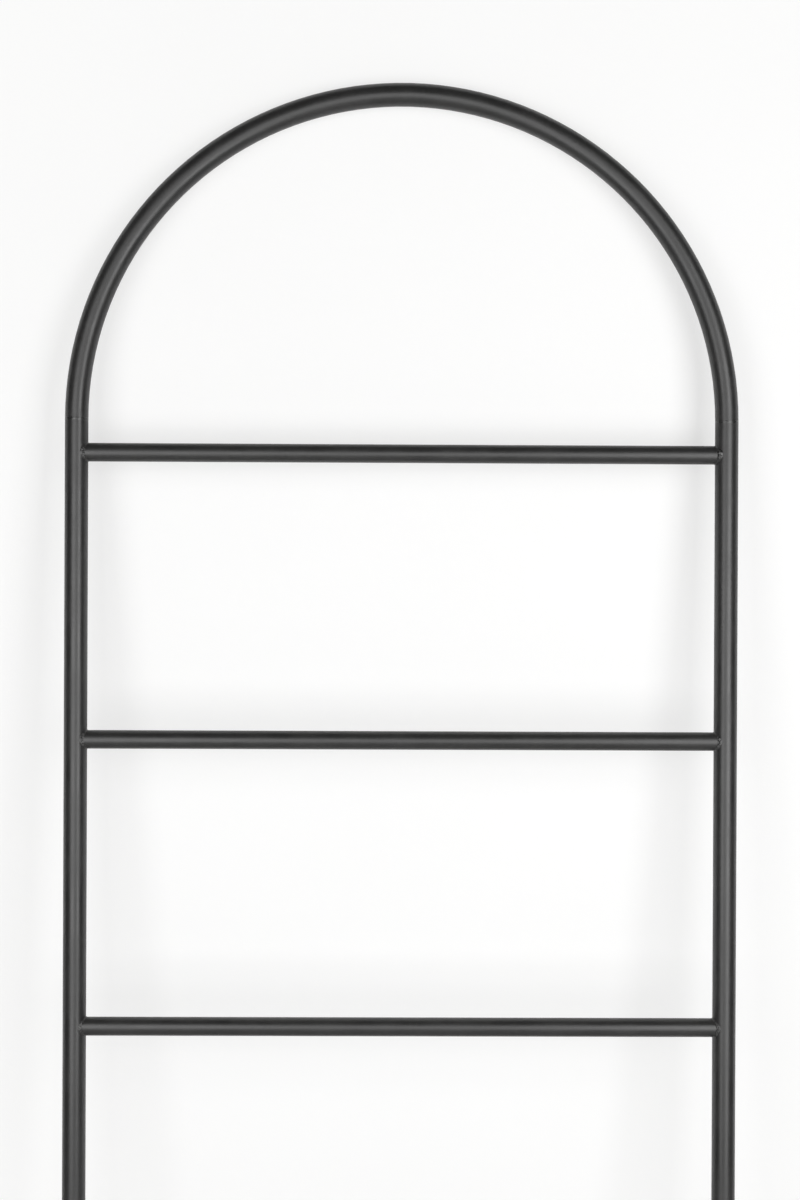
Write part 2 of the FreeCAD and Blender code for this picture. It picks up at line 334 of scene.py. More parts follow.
class Specks(Effect):
    """Scattered small dots, such as nibs in a coat or pits in a moulding."""

    NAME = "specks"
    TAKES = {"Spacing": 6.0 * MM, "Dot Share": 0.12, "Chance": 0.3}
    GIVES = ("Mask",)
    DOME_POWER = 0.5

    def wire(self, wires: Wiring, ins: Any, out: Any) -> None:
        """Keeps the heart of some cells of a cell pattern.

        Args:
            wires: the group's tree.
            ins: the sockets that come into the group, by name.
            out: the sockets that leave the group, by name.
        """
        pattern = {"Vector": ins["Vector"], "Scale": wires.inverse(ins["Spacing"]), "Randomness": 1.0}
        cell = wires.add("ShaderNodeTexVoronoi", pattern)
        near = wires.math("DIVIDE", cell.outputs["Distance"], ins["Dot Share"])
        dot = wires.math("SUBTRACT", 1.0, near, clamp=True)
        lot = wires.add("ShaderNodeSeparateColor", {0: cell.outputs["Color"]}).outputs[0]
        kept = wires.math("LESS_THAN", lot, ins["Chance"])
        wires.feed(out["Mask"], wires.math("MULTIPLY", wires.math("POWER", dot, self.DOME_POWER), kept))


class SettledDust(Effect):
    """A thin film of dust that lies on faces turned up, broken up by a soft noise."""

    NAME = "settled_dust"
    TAKES = {"Amount": 0.1, "Patch Size": 30.0 * MM}
    GIVES = ("Mask",)
    UP_SPAN: Span = (0.35, 1.0)
    PATCH_DETAIL = 6.0
    PATCH_SPAN: Span = (0.25, 0.8)

    def wire(self, wires: Wiring, ins: Any, out: Any) -> None:
        """Multiplies how far a face looks up by a patchy noise.

        Args:
            wires: the group's tree.
            ins: the sockets that come into the group, by name.
            out: the sockets that leave the group, by name.
        """
        normal = wires.add("ShaderNodeNewGeometry").outputs["Normal"]
        up = wires.ramp(wires.along(normal, "Z"), *self.UP_SPAN)
        patch = wires.noise(ins["Vector"], wires.inverse(ins["Patch Size"]), self.PATCH_DETAIL)
        film = wires.math("MULTIPLY", up, wires.ramp(patch, *self.PATCH_SPAN))
        wires.feed(out["Mask"], wires.math("MULTIPLY", film, ins["Amount"], clamp=True))


class HandledSheen(Effect):
    """Broad soft patches where hands have polished or greased a surface."""

    NAME = "handled_sheen"
    TAKES = {"Patch Size": 60.0 * MM}
    GIVES = ("Mask",)
    DETAIL = 2.0
    WARP = 0.6
    PATCH_SPAN: Span = (0.35, 0.7)

    def wire(self, wires: Wiring, ins: Any, out: Any) -> None:
        """Shapes one warped noise into patches.

        Args:
            wires: the group's tree.
            ins: the sockets that come into the group, by name.
            out: the sockets that leave the group, by name.
        """
        patch = wires.noise(ins["Vector"], wires.inverse(ins["Patch Size"]), self.DETAIL, self.WARP)
        wires.feed(out["Mask"], wires.ramp(patch, *self.PATCH_SPAN))


@dataclass(frozen=True)
class Grain:
    """What PowderGrain takes: the sizes of its swell and tooth, and the tooth's share of the height."""

    swell_size: float
    tooth_size: float
    tooth_share: float


@dataclass(frozen=True)
class Dots:
    """What Specks takes: how far apart its cells lie, a dot's share of its cell, and its chance."""

    spacing: float
    dot_share: float
    chance: float


GRAIN = PowderGrain()
SPECKS = Specks()
DUST = SettledDust()
SHEEN = HandledSheen()
DUST_COLOUR: Colour = (0.42, 0.40, 0.37)
STUDIO_WHITE: Colour = (0.985, 0.985, 0.98)


# ---------------------------------------------------------------- finishes


@dataclass(frozen=True)
class Finish:
    """What every finish has: a name, and a material that is built once."""

    name: str

    def material(self) -> bpy.types.Material:
        """Gives the finish's material and builds it at the first call.

        Returns:
            The material.
        """
        made = bpy.data.materials.get(self.name)
        if made is None:
            made = bpy.data.materials.new(self.name)
            made.use_nodes = True
            wires = Wiring(made.node_tree)
            shader = made.node_tree.nodes["Principled BSDF"]
            self.dress(wires, shader, wires.add("ShaderNodeTexCoord").outputs["Object"])
        return made

    def dress(self, wires: Wiring, shader: bpy.types.Node, place: Any) -> None:
        """Wires the finish's colour, roughness and normal; each finish has its own.

        Args:
            wires: the material's tree.
            shader: its Principled BSDF.
            place: the object coordinates.
        """
        raise NotImplementedError

    @staticmethod
    def emboss(wires: Wiring, shader: bpy.types.Node, height: Any, depth: float) -> None:
        """Lets a height tilt the shader's normal.

        Args:
            wires: the material's tree.
            shader: its Principled BSDF.
            height: the height's socket, as a share of the depth.
            depth: how deep a height of 1 is, in metres.
        """
        bump = wires.add("ShaderNodeBump", {"Strength": 1.0, "Distance": depth, "Height": height})
        wires.feed(shader.inputs["Normal"], bump.outputs[0])


@dataclass(frozen=True)
class PowderCoat(Finish):
    """Satin black powder coat: neutral, finely toothed, even, with a few nibs and a trace of dust."""

    deep: Colour = (0.0148, 0.0147, 0.0144)
    pale: Colour = (0.0216, 0.0214, 0.0211)
    smooth: float = 0.31
    rough: float = 0.41
    gloss_swing: float = 0.5
    refraction: float = 1.56
    grain: Grain = Grain(swell_size=2.6 * MM, tooth_size=0.55 * MM, tooth_share=0.45)
    relief: float = 0.08 * MM
    nibs: Dots = Dots(spacing=7.0 * MM, dot_share=0.075, chance=0.35)
    nib_colour: Colour = (0.075, 0.074, 0.072)
    nib_strength: float = 0.5
    sheen_patch: float = 50.0 * MM
    dust: float = 0.05
    dust_patch: float = 30.0 * MM
    dust_dulling: float = 0.5

    def dress(self, wires: Wiring, shader: bpy.types.Node, place: Any) -> None:
        """Lets tone, sheen, nibs and dust vary over the coat, and gives it its tooth.

        Args:
            wires: the material's tree.
            shader: its Principled BSDF.
            place: the object coordinates.
        """
        grain = GRAIN.place(wires, place, **asdict(self.grain))
        specks = SPECKS.place(wires, place, **asdict(self.nibs))["Mask"]
        nibs = wires.math("MULTIPLY", specks, self.nib_strength)
        dust = DUST.place(wires, place, amount=self.dust, patch_size=self.dust_patch)["Mask"]
        sheen = SHEEN.place(wires, place, patch_size=self.sheen_patch)["Mask"]

        coat = wires.mix(nibs, wires.mix(grain["Tone"], self.deep, self.pale), self.nib_colour)
        wires.feed(shader.inputs["Base Color"], wires.mix(dust, coat, DUST_COLOUR))

        matt = wires.math("MULTIPLY", grain["Tone"], self.gloss_swing)
        swing = wires.math("ADD", matt, wires.math("MULTIPLY", sheen, -self.gloss_swing))
        rough = wires.ramp(wires.math("ADD", swing, self.gloss_swing), 0.0, 1.0, self.smooth, self.rough)
        dull = wires.math("MULTIPLY", dust, self.dust_dulling)
        wires.feed(shader.inputs["Roughness"], wires.math("ADD", rough, dull))

        shader.inputs["IOR"].default_value = self.refraction
        self.emboss(wires, shader, wires.math("ADD", grain["Height"], nibs), self.relief)


@dataclass(frozen=True)
class MouldedPlastic(Finish):
    """Black moulded polyethylene with a fine spark-eroded texture, scuffed where it meets the floor."""

    body: Colour = (0.022, 0.022, 0.023)
    deepened: float = 0.85
    smooth: float = 0.46
    rough: float = 0.7
    grain: Grain = Grain(swell_size=1.4 * MM, tooth_size=0.35 * MM, tooth_share=0.75)
    relief: float = 0.05 * MM
    pits: Dots = Dots(spacing=1.8 * MM, dot_share=0.16, chance=0.25)
    pit_depth: float = 0.5
    rubbed: Colour = (0.052, 0.051, 0.050)
    scuff_height: float = 2.2 * MM
    streak_scale: float = 900.0
    streak_detail: float = 5.0
    streak_span: Span = (0.42, 0.68)

    def dress(self, wires: Wiring, shader: bpy.types.Node, place: Any) -> None:
        """Adds the moulding's texture, and pale scuffs low down.

        Args:
            wires: the material's tree.
            shader: its Principled BSDF.
            place: the object coordinates.
        """
        grain = GRAIN.place(wires, place, **asdict(self.grain))
        pits = SPECKS.place(wires, place, **asdict(self.pits))["Mask"]

        low = wires.ramp(wires.along(place, "Z"), 0.0, self.scuff_height, 1.0, 0.0)
        streak = wires.noise(place, self.streak_scale, self.streak_detail)
        scuff = wires.math("MULTIPLY", low, wires.ramp(streak, *self.streak_span))

        deep = tuple(self.deepened * part for part in self.body)
        plain = wires.mix(grain["Tone"], deep, self.body)
        wires.feed(shader.inputs["Base Color"], wires.mix(scuff, plain, self.rubbed))
        worn = wires.math("ADD", grain["Tone"], scuff)
        wires.feed(shader.inputs["Roughness"], wires.ramp(worn, 0.0, 2.0, self.smooth, self.rough))
        skin = wires.math("SUBTRACT", grain["Height"], wires.math("MULTIPLY", pits, self.pit_depth))
        self.emboss(wires, shader, skin, self.relief)


@dataclass(frozen=True)
class BumperRubber(Finish):
    """Soft dark grey rubber, matt, with a bloom of paler grey and fine pits."""

    body: Colour = (0.030, 0.030, 0.031)
    bloom: Colour = (0.058, 0.057, 0.055)
    bloom_share: float = 0.7
    smooth: float = 0.72
    rough: float = 0.86
    grain: Grain = Grain(swell_size=1.1 * MM, tooth_size=0.3 * MM, tooth_share=0.6)
    relief: float = 0.06 * MM
    pits: Dots = Dots(spacing=1.2 * MM, dot_share=0.2, chance=0.2)
    pit_depth: float = 0.6
    dust: float = 0.25
    dust_patch: float = 4.0 * MM

    def dress(self, wires: Wiring, shader: bpy.types.Node, place: Any) -> None:
        """Clouds the rubber with bloom and pits its skin.

        Args:
            wires: the material's tree.
            shader: its Principled BSDF.
            place: the object coordinates.
        """
        grain = GRAIN.place(wires, place, **asdict(self.grain))
        pits = SPECKS.place(wires, place, **asdict(self.pits))["Mask"]
        dust = DUST.place(wires, place, amount=self.dust, patch_size=self.dust_patch)["Mask"]

        bloom = wires.math("MULTIPLY", grain["Tone"], self.bloom_share)
        clouded = wires.mix(bloom, self.body, self.bloom)
        wires.feed(shader.inputs["Base Color"], wires.mix(dust, clouded, DUST_COLOUR))
        wires.feed(shader.inputs["Roughness"], wires.ramp(grain["Tone"], 0.0, 1.0, self.smooth, self.rough))
        skin = wires.math("SUBTRACT", grain["Height"], wires.math("MULTIPLY", pits, self.pit_depth))
        self.emboss(wires, shader, skin, self.relief)


@dataclass(frozen=True)
class DrawnSteel(Finish):
    """Bare cold-drawn steel tube: fine lines along the draw, a trace of oil and rust."""

    bright: Colour = (0.46, 0.45, 0.43)
    dull: Colour = (0.27, 0.25, 0.23)
    line_scale: float = 2500.0
    line_detail: float = 4.0
    line_stretch: float = 50.0
    line_span: Span = (0.3, 0.7)
    relief: float = 0.02 * MM
    oil_patch: float = 12.0 * MM
    dry: float = 0.44
    oiled: float = 0.28
    rust: Colour = (0.16, 0.075, 0.035)
    rust_spots: Dots = Dots(spacing=4.0 * MM, dot_share=0.25, chance=0.25)
    rust_strength: float = 0.6

    def dress(self, wires: Wiring, shader: bpy.types.Node, place: Any) -> None:
        """Stretches a noise along z for the draw lines and adds rust in specks.

        Args:
            wires: the material's tree.
            shader: its Principled BSDF.
            place: the object coordinates.
        """
        drawn = wires.vector("MULTIPLY", place, (1.0, 1.0, 1.0 / self.line_stretch))
        lines = wires.noise(drawn, self.line_scale, self.line_detail)
        oil = SHEEN.place(wires, place, patch_size=self.oil_patch)["Mask"]
        spots = SPECKS.place(wires, place, **asdict(self.rust_spots))["Mask"]

        metal = wires.mix(wires.ramp(lines, *self.line_span), self.dull, self.bright)
        stain = wires.math("MULTIPLY", spots, self.rust_strength)
        wires.feed(shader.inputs["Base Color"], wires.mix(stain, metal, self.rust))
        wires.feed(shader.inputs["Metallic"], wires.math("SUBTRACT", 1.0, spots, clamp=True))
        wires.feed(shader.inputs["Roughness"], wires.ramp(oil, 0.0, 1.0, self.dry, self.oiled))
        self.emboss(wires, shader, lines, self.relief)


COAT = PowderCoat("satin_black_powder")
WELD_COAT = PowderCoat(
    "powder_over_weld",
    smooth=0.20,
    rough=0.34,
    grain=replace(COAT.grain, swell_size=1.2 * MM),
    relief=0.06 * MM,
    nibs=replace(COAT.nibs, spacing=2.6 * MM),
    dust=0.04,
)
SLEEVE_STEEL = DrawnSteel("cold_drawn_steel")
FOOT_PLASTIC = MouldedPlastic("moulded_foot_plastic")
PAD_RUBBER = BumperRubber("bumper_rubber")


def coat_nodes(slot: Slot, finish: Finish) -> None:
    """Puts a finish on the CAD nodes of a material slot, which stay as they are.

    Args:
        slot: the record's material slot.
        finish: what its nodes get.
    """
    for part in frame["record"]["subparts"]:
        if part["material_slot"] == slot.value:
            for holder in frame["nodes"][part["node"]].material_slots:
                holder.material = finish.material()
            LOG.info("%s: %s", part["node"], finish.name)


# ---------------------------------------------------------------- welds


@dataclass(frozen=True)
class BeadShape:
    """How a rung's bead lies: its size beside a plain one, its lean on to the rung, and how fast it thins."""

    size: float = 1.0
    lean: float = 0.0
    thinning: float = 2.0


@dataclass(frozen=True)
class BeadTexture:
    """How a weld bead looks close up: how far it is built up, its ripples, its lumps and its pits."""

    build_up: float = 0.0
    ripple_pitch: float = 1.0 * MM
    ripple_depth: float = 0.08 * MM
    lump_size: float = 1.5 * MM
    lump_depth: float = 0.75 * MM
    pit_size: float = 1.1 * MM
    pit_depth: float = 0.0
    pit_chance: float = 0.4
    seed: float = 0.0


class BeadNodes:
    """The Geometry Nodes tree that lays ripples, lumps and pits on a plain bead.

    Its inputs are the sizes of a BeadTexture. The bead's mesh carries two attributes: lap, the distance along
    the weld, and crown, which is 1 on the middle of its face where the bead is full, and 0 at its toes and
    underside.
    """

    NAME = "weld_bead"
    RIPPLE_FLOOR = 0.6
    SWAY = 0.7
    SWAY_LUMPS = 0.5
    SWAY_DETAIL = 1.0
    LUMP_GAIN = 2.0
    LUMP_DETAIL = 2.0
    PIT_SPAN: Span = (0.15, 0.5)

    def __init__(self) -> None:
        """Builds the tree and keeps the identifier of each input."""
        tree = bpy.data.node_groups.new(self.NAME, "GeometryNodeTree")
        tree.is_modifier = True
        face = tree.interface
        face.new_socket(name="Geometry", in_out="OUTPUT", socket_type="NodeSocketGeometry")
        face.new_socket(name="Geometry", in_out="INPUT", socket_type="NodeSocketGeometry")
        self.keys: dict[str, str] = {}
        for size in fields(BeadTexture):
            socket = face.new_socket(name=label(size.name), in_out="INPUT", socket_type="NodeSocketFloat")
            self.keys[size.name] = socket.identifier
        coat = face.new_socket(name="Material", in_out="INPUT", socket_type="NodeSocketMaterial")
        self.coat_key = coat.identifier
        self.tree = tree
        self._wire(Wiring(tree))

    def _wire(self, wires: Wiring) -> None:
        """Moves each point along its normal by the ripples, lumps and pits at its place.

        Args:
            wires: the tree.
        """
        ins = wires.add("NodeGroupInput").outputs
        place = wires.add("GeometryNodeInputPosition").outputs[0]
        shift = wires.add("ShaderNodeCombineXYZ", {0: ins["Seed"], 1: ins["Seed"]}).outputs[0]
        spot = wires.vector("ADD", place, shift)
        raised = wires.math("ADD", self._ripples(wires, ins, spot), self._lumps(wires, ins, spot))
        rough = wires.math("SUBTRACT", raised, self._pits(wires, ins, spot))
        crown = self._attribute(wires, "crown")
        body = wires.math("MULTIPLY", wires.math("SQRT", crown), ins["Build Up"])
        rise = wires.math("MULTIPLY_ADD", rough, crown, body)

        normal = wires.add("GeometryNodeInputNormal").outputs[0]
        moved = wires.add("GeometryNodeSetPosition", {"Geometry": ins["Geometry"]})
        wires.feed(moved.inputs["Offset"], wires.vector("SCALE", normal, rise))
        smooth = wires.add("GeometryNodeSetShadeSmooth", {"Geometry": moved.outputs[0]}).outputs[0]
        real = wires.add("GeometryNodeRealizeInstances", {"Geometry": smooth}).outputs[0]
        dressed = wires.add("GeometryNodeSetMaterial", {"Geometry": real, "Material": ins["Material"]})
        wires.add("NodeGroupOutput", {"Geometry": dressed.outputs[0]})

    def _ripples(self, wires: Wiring, ins: Any, spot: Any) -> bpy.types.NodeSocket:
        """Wires the humps along the weld, whose pitch sways a little.

        Args:
            wires: the tree.
            ins: the tree's inputs, by name.
            spot: where the noise is read.

        Returns:
            Their height's socket, in metres.
        """
        sway_size = wires.math("MULTIPLY", ins["Lump Size"], self.SWAY_LUMPS)
        sway = self._noise(wires, spot, sway_size, self.SWAY_DETAIL)
        beat = wires.math("DIVIDE", self._attribute(wires, "lap"), ins["Ripple Pitch"])
        beat = wires.math("ADD", beat, wires.math("MULTIPLY", sway, self.SWAY))
        hump = wires.math("ABSOLUTE", wires.math("SINE", wires.math("MULTIPLY", beat, math.pi)))
        return wires.math("MULTIPLY", wires.math("SUBTRACT", hump, self.RIPPLE_FLOOR), ins["Ripple Depth"])

    def _lumps(self, wires: Wiring, ins: Any, spot: Any) -> bpy.types.NodeSocket:
        """Wires the uneven build-up of the bead.

        Args:
            wires: the tree.
            ins: the tree's inputs, by name.
            spot: where the noise is read.

        Returns:
            Its height's socket, in metres.
        """
        lump = self._noise(wires, spot, ins["Lump Size"], self.LUMP_DETAIL)
        return wires.math("MULTIPLY", wires.math("MULTIPLY", lump, self.LUMP_GAIN), ins["Lump Depth"])

    def _pits(self, wires: Wiring, ins: Any, spot: Any) -> bpy.types.NodeSocket:
        """Wires the pits, which are the hearts of some cells of a cell pattern.

        Args:
            wires: the tree.
            ins: the tree's inputs, by name.
            spot: where the pattern is read.

        Returns:
            Their depth's socket, in metres.
        """
        pattern = {"Vector": spot, "Scale": wires.inverse(ins["Pit Size"]), "Randomness": 1.0}
        cell = wires.add("ShaderNodeTexVoronoi", pattern)
        kept = wires.math("LESS_THAN", wires.along(cell.outputs["Color"], "X"), ins["Pit Chance"])
        hollow = wires.ramp(cell.outputs["Distance"], *self.PIT_SPAN, 1.0, 0.0)
        return wires.math("MULTIPLY", wires.math("MULTIPLY", hollow, kept), ins["Pit Depth"])

    @staticmethod
    def _attribute(wires: Wiring, name: str) -> bpy.types.NodeSocket:
        """Reads a number that the mesh carries at each point."""
        return wires.add("GeometryNodeInputNamedAttribute", {"Name": name}, data_type="FLOAT").outputs[0]

    @staticmethod
    def _noise(wires: Wiring, spot: Any, size: Any, detail: float) -> bpy.types.NodeSocket:
        """Adds a noise from about -0.5 to 0.5, whose lumps have the given size in metres."""
        return wires.math("SUBTRACT", wires.noise(spot, wires.inverse(size), detail), 0.5)

    def finish(self, plain: bpy.types.Object, texture: BeadTexture, name: str) -> bpy.types.Object:
        """Runs the tree on a plain bead and keeps the result as an ordinary mesh.

        Args:
            plain: the bead's object, which is removed.
            texture: the bead's texture.
            name: the finished object's name.

        Returns:
            The finished object, at the origin.
        """
        modifier = plain.modifiers.new(self.NAME, "NODES")
        modifier.node_group = self.tree
        for size, key in self.keys.items():
            modifier[key] = getattr(texture, size)
        modifier[self.coat_key] = WELD_COAT.material()
        evaluated = plain.evaluated_get(bpy.context.evaluated_depsgraph_get())
        mesh = bpy.data.meshes.new_from_object(evaluated)
        plain.modifiers.remove(modifier)
        bpy.data.objects.remove(plain)
        mesh.name = name
        done = bpy.data.objects.new(name, mesh)
        bpy.context.scene.collection.objects.link(done)
        return done


def ring_object(
    name: str, stations: int, section: Callable[[float], Section], place: Matrix
) -> bpy.types.Object:
    """Makes a closed ring out of sections, with the attributes lap and crown.

    Args:
        name: the object's name.
        stations: how many sections it has.
        section: gives the points of the closed section at an angle round the ring, each with its crown value.
        place: where the ring goes.

    Returns:
        The new object, at the origin, with its faces outwards.
    """
    rows = [section(math.tau * step / stations) for step in range(stations)]
    wide = len(rows[0])
    points = [place @ point for row in rows for point, _ in row]
    crowns = [crown for row in rows for _, crown in row]
    middle = [sum((point for point, _ in row), Vector()) / wide for row in rows]
    laps: list[float] = []
    travelled = 0.0
    for step in range(stations):
        laps += [travelled] * wide
        travelled += (middle[(step + 1) % stations] - middle[step]).length
    faces = []
    for step in range(stations):
        here, there = step * wide, (step + 1) % stations * wide
        for column in range(wide):
            other = (column + 1) % wide
            faces.append((here + column, here + other, there + other, there + column))
    volume = sum(
        points[a].dot(points[b].cross(points[c])) + points[a].dot(points[c].cross(points[d]))
        for a, b, c, d in faces
    )
    if volume < 0.0:
        faces = [face[::-1] for face in faces]
    mesh = bpy.data.meshes.new(name)
    mesh.from_pydata(points, [], faces)
    for title, values in (("lap", laps), ("crown", crowns)):
        mesh.attributes.new(title, "FLOAT", "POINT").data.foreach_set("value", values)
    made = bpy.data.objects.new(name, mesh)
    bpy.context.scene.collection.objects.link(made)
    return made


@dataclass
class RungWelds:
    """The fillet welds that hold the rungs: full in front and behind, thin in the corners above and below."""

    rungs: int = RUNGS
    stile_radius: float = 10.0 * MM
    rung_radius: float = 8.0 * MM
    full_leg: float = 2.0 * MM
    corner_leg: float = 0.5 * MM
    full_rise: float = 0.18 * MM
    rise_power: float = 1.4
    crown_power: float = 2.0
    sunk: float = 0.35 * MM
    plain_shape: BeadShape = BeadShape()
    rough_shape: BeadShape = BeadShape(size=1.3, lean=0.25, thinning=3.4)
    plain_texture: BeadTexture = BeadTexture(build_up=0.12 * MM, pit_depth=0.35 * MM, pit_chance=0.3)
    rough_texture: BeadTexture = BeadTexture(
        build_up=0.3 * MM,
        ripple_pitch=4.5 * MM,
        ripple_depth=0.38 * MM,
        lump_size=1.9 * MM,
        lump_depth=0.65 * MM,
        pit_size=1.3 * MM,
        pit_depth=0.2 * MM,
        pit_chance=0.25,
    )
    seed_of_rung: float = 3.7
    seed_of_side: float = 1.9
    stations: int = 336
    face_points: int = 17

    def section(self, turn: float, shape: BeadShape) -> Section:
        """Gives one section of the bead, for an upright on z and a rung along x from it.

        Args:
            turn: the angle round the rung, from its top.
            shape: how the bead lies.

        Returns:
            The section's points, from the rung's toe over the face to the upright's toe and back inside the
            metal, each with its crown value.
        """
        across, up = math.sin(turn), math.cos(turn)
        leg = self.corner_leg + (shape.size * self.full_leg - self.corner_leg) * abs(across) ** shape.thinning
        rise = self.full_rise * leg / self.full_leg
        swing = math.asin(self.rung_radius * across / self.stile_radius)
        root = Vector((self.stile_radius * math.cos(swing), self.rung_radius * across, self.rung_radius * up))
        rung_toe = root + Vector((leg * (1.0 + shape.lean), 0.0, 0.0))

        # The upright's toe lies square to the root, measured on the upright's unrolled surface.
        normal = (self.rung_radius * across, self.rung_radius * up / math.cos(swing))
        reach = leg * (1.0 - shape.lean) / math.hypot(*normal)
        toe_swing = swing + reach * normal[0] / self.stile_radius
        toe_x, toe_y = self.stile_radius * math.cos(toe_swing), self.stile_radius * math.sin(toe_swing)
        stile_toe = Vector((toe_x, toe_y, root.z + reach * normal[1]))

        outward = Vector((math.cos(swing), math.sin(swing) + across, up)).normalized()
        full = (leg / self.full_leg) ** self.crown_power
        row = []
        for step in range(self.face_points):
            share = step / (self.face_points - 1)
            bulge = math.sin(math.pi * share)
            point = rung_toe.lerp(stile_toe, share) + outward * (rise * bulge**self.rise_power)
            row.append((point, full * bulge**self.crown_power))
        for point in (stile_toe, root, rung_toe):
            row.append((point - outward * self.sunk, 0.0))
        return row

    def is_rough(self, rung: int, side: Side) -> bool:
        """Says whether a bead is the one that was laid in two thick blobs."""
        return (rung, side) == (self.rungs, Side.RIGHT)

    def texture(self, rung: int, side: Side) -> BeadTexture:
        """Says how one bead was laid: the topmost right one is the roughest.

        Args:
            rung: the rung's number from the floor.
            side: the upright.

        Returns:
            The bead's texture, with a seed of its own.
        """
        texture = self.rough_texture if self.is_rough(rung, side) else self.plain_texture
        return replace(texture, seed=self.seed_of_rung * rung + self.seed_of_side * side.value)

    def build(self, nodes: BeadNodes) -> None:
        """Lays all the beads and lets each one stand for its CAD node.

        Args:
            nodes: the tree that textures them.
        """
        for rung in range(1, self.rungs + 1):
            rung_low, rung_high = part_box(f"rung_{rung}")
            for side in Side:
                stile_low, stile_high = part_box(f"stile_{side.word}")
                corner = Vector(((stile_low.x + stile_high.x) / 2, 0.0, (rung_low.z + rung_high.z) / 2))
                facing = 0.0 if side is Side.LEFT else math.pi
                place = Matrix.Translation(corner) @ Matrix.Rotation(facing, 4, "Z")
                node = f"rung_weld_{rung}_{side.word}"
                shape = self.rough_shape if self.is_rough(rung, side) else self.plain_shape
                plain = ring_object("plain_bead", self.stations, partial(self.section, shape=shape), place)
                bead = nodes.finish(plain, self.texture(rung, side), f"bead_rung_{rung}_{side.word}")
                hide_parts(node)
                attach(bead, BODY)
                LOG.info("%s stands for %s", bead.name, node)


@dataclass
class SeamWelds:
    """The two welds, ground nearly flush, where the round top meets the uprights."""

    radius: float = 10.0 * MM
    half_width: float = 1.5 * MM
    rise: float = 0.035 * MM
    feather: float = 0.03 * MM
    sunk: float = 0.25 * MM
    texture: BeadTexture = BeadTexture(
        ripple_depth=0.0,
        lump_size=1.6 * MM,
        lump_depth=0.05 * MM,
        pit_size=2.1 * MM,
        pit_depth=0.14 * MM,
        pit_chance=0.15,
        seed=8.3,
    )
    stations: int = 288
    face_points: int = 13

    def section(self, turn: float) -> Section:
        """Gives one section of the ground cap, for a tube on z with the seam at z = 0.

        Args:
            turn: the angle round the tube.

        Returns:
            The section's points, down the face and back inside the metal, each with its crown value.
        """
        row = []
        for step in range(self.face_points):
            share = step / (self.face_points - 1)
            hump = math.sin(math.pi * share) ** 2
            radius = self.radius - self.feather + (self.rise + self.feather) * hump
            row.append((self._at(turn, radius, self.half_width * (1 - 2 * share)), hump))
        for end in (-1, 1):
            row.append((self._at(turn, self.radius - self.sunk, end * self.half_width), 0.0))
        return row

    @staticmethod
    def _at(turn: float, radius: float, height: float) -> Vector:
        """Turns cylinder coordinates into a point."""
        return Vector((radius * math.cos(turn), radius * math.sin(turn), height))

    def build(self, nodes: BeadNodes) -> None:
        """Lays both caps and lets each one stand for its CAD node.

        Args:
            nodes: the tree that textures them.
        """
        for side in Side:
            node = f"seam_weld_{side.word}"
            low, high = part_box(node)
            place = Matrix.Translation((low + high) / 2)
            texture = replace(self.texture, seed=self.texture.seed + side.value)
            plain = ring_object("plain_cap", self.stations, self.section, place)
            cap = nodes.finish(plain, texture, f"ground_seam_{side.word}")
            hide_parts(node)
            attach(cap, BODY)
            LOG.info("%s stands for %s", cap.name, node)


# ---------------------------------------------------------------- the rest of the ladder


@dataclass
class TubeFrame:
    """The bent top, the uprights and the rungs, which keep their CAD form."""

    coat: Finish = COAT

    def build(self) -> None:
        """Coats every tube."""
        coat_nodes(Slot.FRAME_COAT, self.coat)


@dataclass
class SmallParts:
    """The pieces that aren't coated: sleeves in the seams, feet in the uprights and bumpers on the back."""

    sleeve: Finish = SLEEVE_STEEL
    foot: Finish = FOOT_PLASTIC
    pad: Finish = PAD_RUBBER

    def build(self) -> None:
        """Gives each kind its own finish."""
        coat_nodes(Slot.SLEEVE_STEEL, self.sleeve)
        coat_nodes(Slot.FOOT_PLASTIC, self.foot)
        coat_nodes(Slot.PAD_RUBBER, self.pad)


# ---------------------------------------------------------------- studio


@dataclass(frozen=True)
class SoftBox:
    """A rectangular soft lamp that faces the ladder squarely, from the front or from behind.

    A square metre of it needs watts_per_radiance watts for a radiance of 1.
    """

    name: str
    x: float
    y: float
    z: float
    width: float
    height: float
    radiance: float
    watts_per_radiance: float = 4.0

    def build(self) -> None:
        """Hangs the lamp, unseen by the camera."""
        lamp = bpy.data.lights.new(self.name, "AREA")
        lamp.shape = "RECTANGLE"
        lamp.size, lamp.size_y = self.width, self.height
        lamp.energy = self.watts_per_radiance * self.radiance * self.width * self.height
        hung = bpy.data.objects.new(self.name, lamp)
        facing = Matrix.Rotation(-math.copysign(math.pi / 2, self.y), 4, "X")
        hung.matrix_world = Matrix.Translation((self.x, self.y, self.z)) @ facing
        hung.visible_camera = False
        bpy.context.scene.collection.objects.link(hung)


@dataclass(frozen=True)
class LampBank:
    """Three soft boxes one above the other, in front of the ladder on one side.

    The radiances and the edges, which are the heights where the boxes begin and end, run from the top down.
    """

    side: Side
    x: float
    radiances: tuple[float, float, float]
    y: float = -1.57
    width: float = 0.98
    edges: tuple[float, float, float, float] = (2.204, 1.704, 0.75, 0.25)

    def build(self) -> None:
        """Hangs the boxes, from the top down."""
        parts = ("head", "middle", "foot")
        for part, radiance, top, bottom in zip(parts, self.radiances, self.edges, self.edges[1:]):
            name = f"soft_box_{self.side.word}_{part}"
            SoftBox(name, self.x, self.y, (top + bottom) / 2, self.width, top - bottom, radiance).build()


